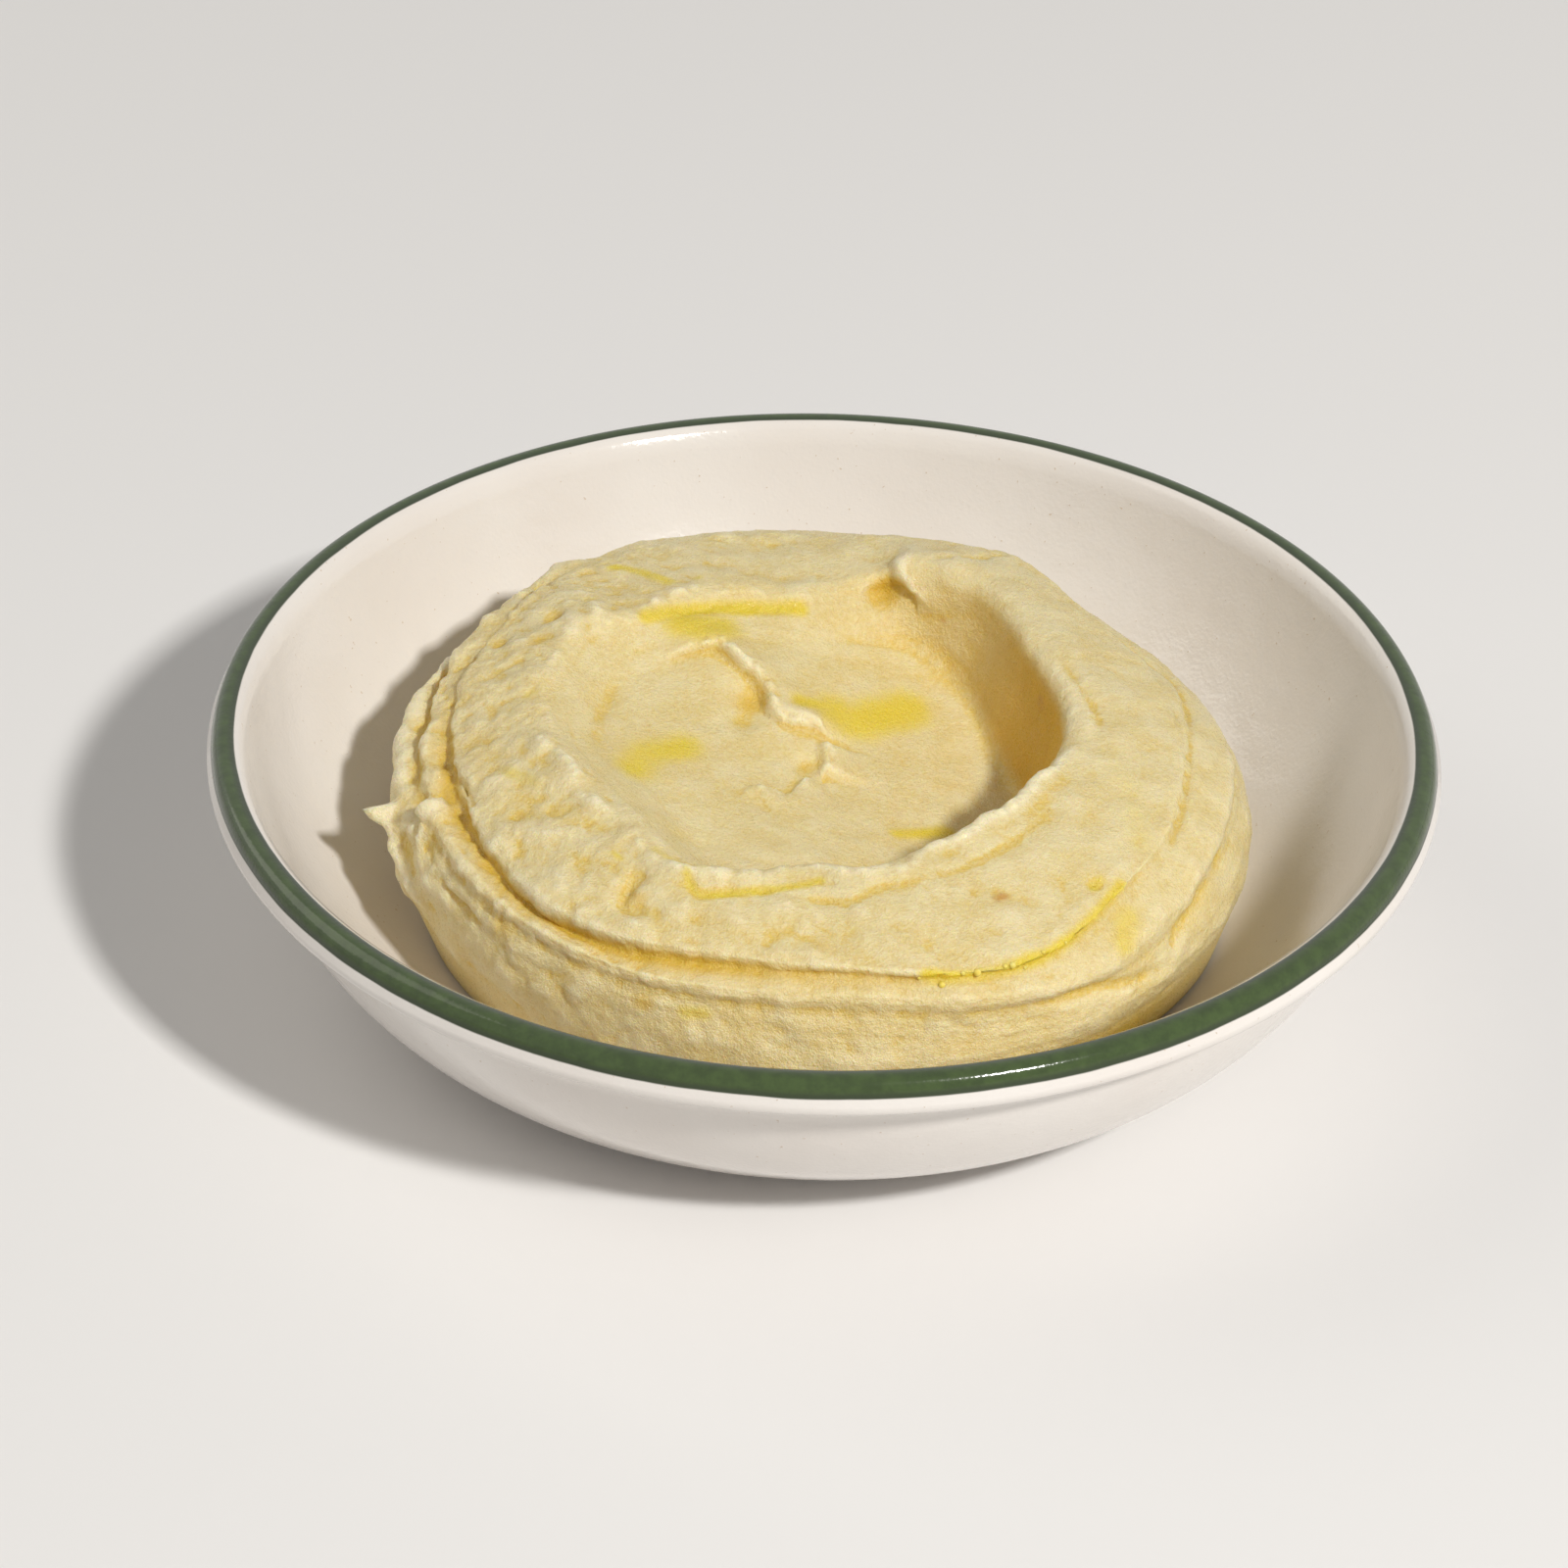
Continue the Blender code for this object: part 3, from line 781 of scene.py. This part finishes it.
def mash_material():
    """Buttery mash with a grainy skin, glossy where butter lies."""
    material, tree, shader = principled("mash_potato")
    patches = noise_node(tree, 150.0, 4.0, 0.6)
    grains = noise_node(tree, 1500.0, 3.0, 0.6)
    specks = noise_node(tree, 3600.0, 2.0)
    uneven = calc(tree, "ADD", calc(tree, "MULTIPLY", patches, 0.8), calc(tree, "MULTIPLY", grains, 0.35))
    wet = ramp(tree, calc(tree, "ADD", attribute(tree, "butter"), uneven), 0.80, 1.60)
    link(tree, mash_colour(tree, patches, grains, wet), shader.inputs["Base Color"])
    dry = calc(tree, "SUBTRACT", 0.44, calc(tree, "MULTIPLY", ramp(tree, specks, 0.52, 0.70), 0.30))
    rough = calc(tree, "SUBTRACT", dry, calc(tree, "MULTIPLY", wet, 0.12))
    link(tree, rough, shader.inputs["Roughness"])
    translucent(shader, 0.7, (1.0, 0.75, 0.30), 0.0020)
    normal = bump(tree, grains, 0.00030)
    normal = bump(tree, specks, 0.00020, under=normal)
    link(tree, normal, shader.inputs["Normal"])
    return material


def butter_material():
    """Clear yellow melted butter, for beads that stand on the mash."""
    material, tree, shader = principled("melted_butter")
    swirls = noise_node(tree, 900.0, 2.0)
    colour = blend(tree, ramp(tree, swirls, 0.3, 0.7), BEAD_GOLD, BEAD_PALE)
    link(tree, colour, shader.inputs["Base Color"])
    rough = calc(tree, "MULTIPLY", swirls, 0.12)
    link(tree, rough, shader.inputs["Roughness"])
    translucent(shader, 0.5, (1.0, 0.8, 0.3), 0.001)
    return material


def glaze_colour(tree, clouds, wobble, pits):
    """Cream with fine pits, and green where the mesh's band number is above 0."""
    streaks = noise_node(tree, 420.0, 3.0, 0.6)
    cream = blend(tree, ramp(tree, clouds, 0.3, 0.7), CREAM, CREAM_PALE)
    cream = blend(tree, ramp(tree, pits, 0.74, 0.80), cream, GLAZE_PIT)
    shaky = calc(tree, "MULTIPLY", calc(tree, "SUBTRACT", wobble, 0.5), 0.4)
    edge = calc(tree, "ADD", attribute(tree, "band"), shaky)
    green = blend(tree, ramp(tree, streaks, 0.3, 0.7), GREEN, GREEN_PALE)
    green = blend(tree, ramp(tree, edge, 0.3, 1.3), GREEN_EDGE, green)
    return blend(tree, ramp(tree, edge, -0.14, 0.14), cream, green)


def glaze_material():
    """Cream glaze with a hand-painted green rim."""
    material, tree, shader = principled("bowl_glaze")
    clouds = noise_node(tree, 26.0, 3.0)
    wobble = noise_node(tree, 90.0, 2.0)
    pits = noise_node(tree, 1500.0, 1.0)
    link(tree, glaze_colour(tree, clouds, wobble, pits), shader.inputs["Base Color"])
    rough = calc(tree, "ADD", 0.10, calc(tree, "MULTIPLY", ramp(tree, clouds, 0.3, 0.8), 0.07))
    link(tree, rough, shader.inputs["Roughness"])
    normal = bump(tree, wobble, 0.00022)
    normal = bump(tree, pits, 0.00003, under=normal)
    link(tree, normal, shader.inputs["Normal"])
    return material


# ---------------------------------------------------------------- camera, lights and floor
CAMERA_DISTANCE = 0.8625
CAMERA_AIM_HEIGHT = 0.0406
CAMERA_ELEVATION = 33.207
CAMERA_ROLL = 1.5576
CAMERA_PAN = 0.3812
CAMERA_TILT = -0.6506
CAMERA_LENS = 135.0
CAMERA_SENSOR = 36.0
# A lamp is (direction, distance, size, power, colour)
KEY_LAMP = ((0.447, -0.572, 0.688), 2.2, 0.18, 42.5, (1.0, 0.98, 0.95))
FILL_LAMP = ((-0.75, 0.25, 0.62), 2.5, 2.0, 15.0, (1.0, 0.96, 0.88))
FLOOR_HALF = 4000.0


def camera_axes():
    """The camera's right, up and forward directions, after its small pan, tilt and roll."""
    elevation = math.radians(CAMERA_ELEVATION)
    right = Vector((1.0, 0.0, 0.0))
    forward = Vector((0.0, math.cos(elevation), -math.sin(elevation)))
    up = right.cross(forward)
    pan = Matrix.Rotation(math.radians(CAMERA_PAN), 3, up)
    forward, right = pan @ forward, pan @ right
    tilt = Matrix.Rotation(math.radians(CAMERA_TILT), 3, right)
    forward, up = tilt @ forward, tilt @ up
    roll = math.radians(CAMERA_ROLL)
    across = math.cos(roll) * right + math.sin(roll) * up
    upward = math.cos(roll) * up - math.sin(roll) * right
    return across, upward, forward


def make_camera():
    """A long lens that looks down at the bowl's front."""
    elevation = math.radians(CAMERA_ELEVATION)
    stand = CAMERA_DISTANCE * Vector((0.0, -math.cos(elevation), math.sin(elevation)))
    stand.z += CAMERA_AIM_HEIGHT
    across, upward, forward = camera_axes()
    lens = bpy.data.cameras.new("camera")
    lens.lens = CAMERA_LENS
    lens.sensor_width = CAMERA_SENSOR
    camera = bpy.data.objects.new("camera", lens)
    turned = Matrix((across, upward, -forward)).transposed().to_4x4()
    camera.matrix_world = Matrix.Translation(stand) @ turned
    bpy.context.scene.collection.objects.link(camera)
    bpy.context.scene.camera = camera


def area_light(name, direction, distance, size, power, colour):
    """A square lamp that faces the bowl from a direction."""
    lamp = bpy.data.lights.new(name, "AREA")
    lamp.size = size
    lamp.energy = power
    lamp.color = colour
    holder = bpy.data.objects.new(name, lamp)
    holder.location = Vector(direction).normalized() * distance
    holder.rotation_euler = Vector(direction).to_track_quat("Z", "Y").to_euler()
    bpy.context.scene.collection.objects.link(holder)


def make_lights():
    """A soft key from the right front, a wide weak fill, and a pale world."""
    area_light("key", *KEY_LAMP)
    area_light("fill", *FILL_LAMP)
    world = bpy.data.worlds.new("studio")
    bpy.context.scene.world = world
    world.use_nodes = True
    tree = world.node_tree
    background = tree.nodes["Background"]
    background.inputs["Color"].default_value = (*WORLD_GREY, 1.0)
    rays = tree.nodes.new("ShaderNodeLightPath")
    seen = calc(tree, "MAXIMUM", rays.outputs["Is Camera Ray"], rays.outputs["Is Glossy Ray"])
    strength = calc(tree, "ADD", WORLD_LIGHT, calc(tree, "MULTIPLY", seen, WORLD_SEEN))
    link(tree, strength, background.inputs["Strength"])


def make_floor():
    """A plain pale table top under the bowl."""
    corners = ((-1, -1, 0), (1, -1, 0), (1, 1, 0), (-1, 1, 0))
    verts = FLOOR_HALF * np.array(corners, float)
    material, _, shader = principled("floor_paint")
    shader.inputs["Base Color"].default_value = (*FLOOR_GREY, 1.0)
    shader.inputs["Roughness"].default_value = 0.7
    floor = mesh_object("floor", verts, [(0, 1, 2), (0, 2, 3)], material)


def bowl_section():
    """The bowl's section from the middle of its floor, over the rim, to the middle of its foot.

    With it come the numbers of the first point of the rim's crown and of the last.
    """
    floor_z, recess_z = FLOOR_EDGE[1], FOOT_RECESS[1]
    inside = np.concatenate([[(0.0, floor_z)], np.linspace((4.0, floor_z), (38.0, floor_z), 10),
                             quadratic(INNER_TOP, INNER_BEND, FLOOR_EDGE, 26)[::-1]])
    crown = quadratic(RIM_INSIDE, RIM_CROWN, RIM_OUTSIDE, 16)
    lip = quadratic(LIP_START, LIP_BELLY, LIP_END, 8)
    outside = quadratic(WALL_TOP, WALL_BEND, FOOT_OUTSIDE, 26)
    foot = [(41.0, 0.0), FOOT_INSIDE, FOOT_RECESS, (20.0, recess_z), (0.0, recess_z)]
    section = np.concatenate([inside, crown, lip, outside, foot])
    return section, len(inside), len(inside) + len(crown) - 1


def turned_faces(rows):
    """Triangles of a closed turned surface whose first and last rows lie on the axis."""
    i = np.arange(BOWL_SEGMENTS)
    j = (i + 1) % BOWL_SEGMENTS
    faces = []
    for row in range(rows - 1):
        a, b = row * BOWL_SEGMENTS, (row + 1) * BOWL_SEGMENTS
        if row > 0:
            faces.append(np.stack([a + i, b + i, a + j], 1))
        if row < rows - 2:
            faces.append(np.stack([a + j, b + i, b + j], 1))
    return np.concatenate(faces)


def make_bowl(material):
    """The turned bowl, whose band number is the distance in mm inside the painted band."""
    section, band_start, band_end = bowl_section()
    turn = 2 * math.pi * np.arange(BOWL_SEGMENTS) / BOWL_SEGMENTS
    points = np.stack([section[:, :1] * np.cos(turn), section[:, :1] * np.sin(turn),
                       section[:, 1:] * np.ones_like(turn)], -1)
    piece = mesh_object("bowl_turned", points.reshape(-1, 3), turned_faces(len(section)), material)
    path = np.concatenate([[0.0], np.cumsum(np.linalg.norm(np.diff(section, axis=0), axis=1))])
    band = np.clip(np.minimum(path - path[band_start], path[band_end] - path), -6.0, 6.0)
    add_attribute(piece, "band", np.repeat(band, BOWL_SEGMENTS))
    return piece


make_camera()
make_lights()
make_floor()
bowl = make_bowl(glaze_material())
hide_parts("bowl")
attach(bowl, "root")
heap_shape = shape_heap()
heap = make_heap(heap_shape, mash_material())
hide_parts("mashed_potato")
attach(heap, "root")
droplets = make_droplets(heap_shape[1], butter_material())
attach(droplets, "root")
bpy.context.scene.view_settings.view_transform = "Standard"
